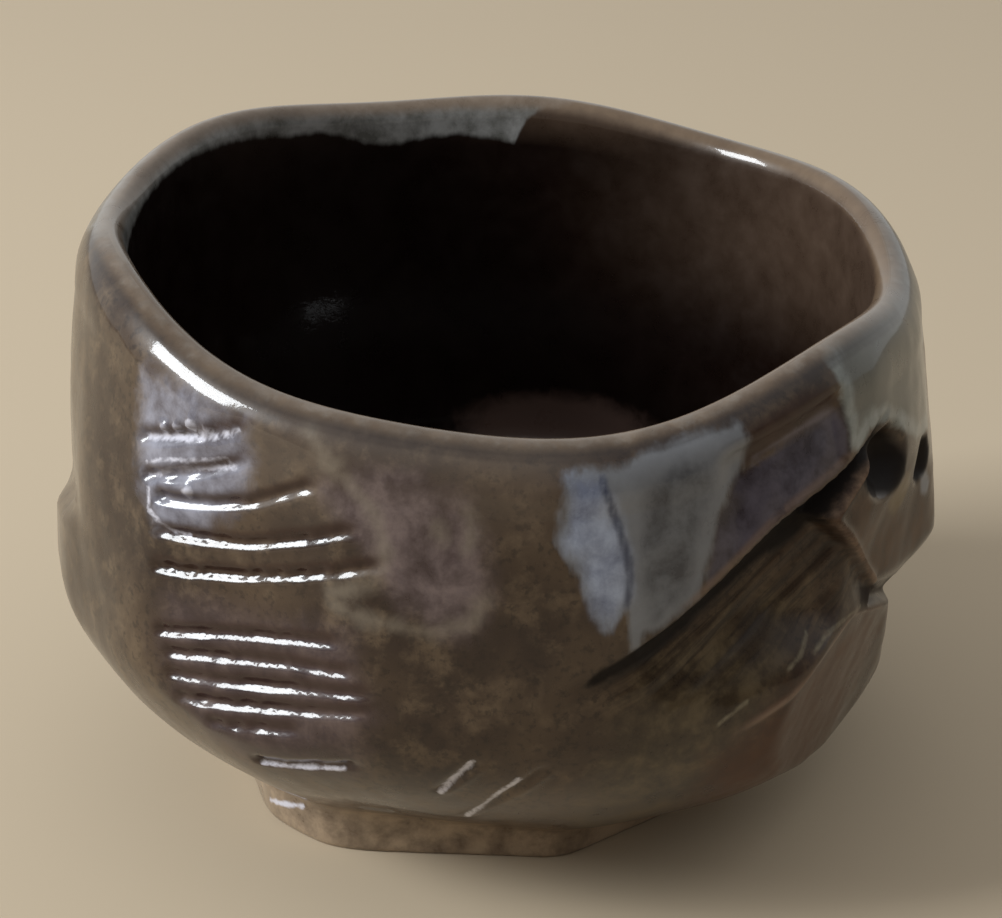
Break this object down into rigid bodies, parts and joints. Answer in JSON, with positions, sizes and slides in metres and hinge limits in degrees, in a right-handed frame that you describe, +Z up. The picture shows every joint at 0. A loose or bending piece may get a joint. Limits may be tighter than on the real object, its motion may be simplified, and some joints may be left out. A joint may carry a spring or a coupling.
{
  "type": "sake cup",
  "caption": "Small hand-thrown stoneware cup with a wavy rolled lip, knife-cut and combed sides and a low cut foot, open and empty.",
  "frame": {"origin": "on the ground, in the middle of the cup's outline seen from above", "axes": "+Z up, -Y towards the front, where the lip is lowest; the combed face is at the front left and the knife cut at the front right"},
  "size_m": [0.0833, 0.0831, 0.0564],
  "materials": {
    "glaze": "glossy iron-brown glaze over stoneware, with grey-blue runs and thin brown edges"
  },
  "bodies": {
    "root": {"sake_cup": "glaze"}
  },
  "joints": []
}
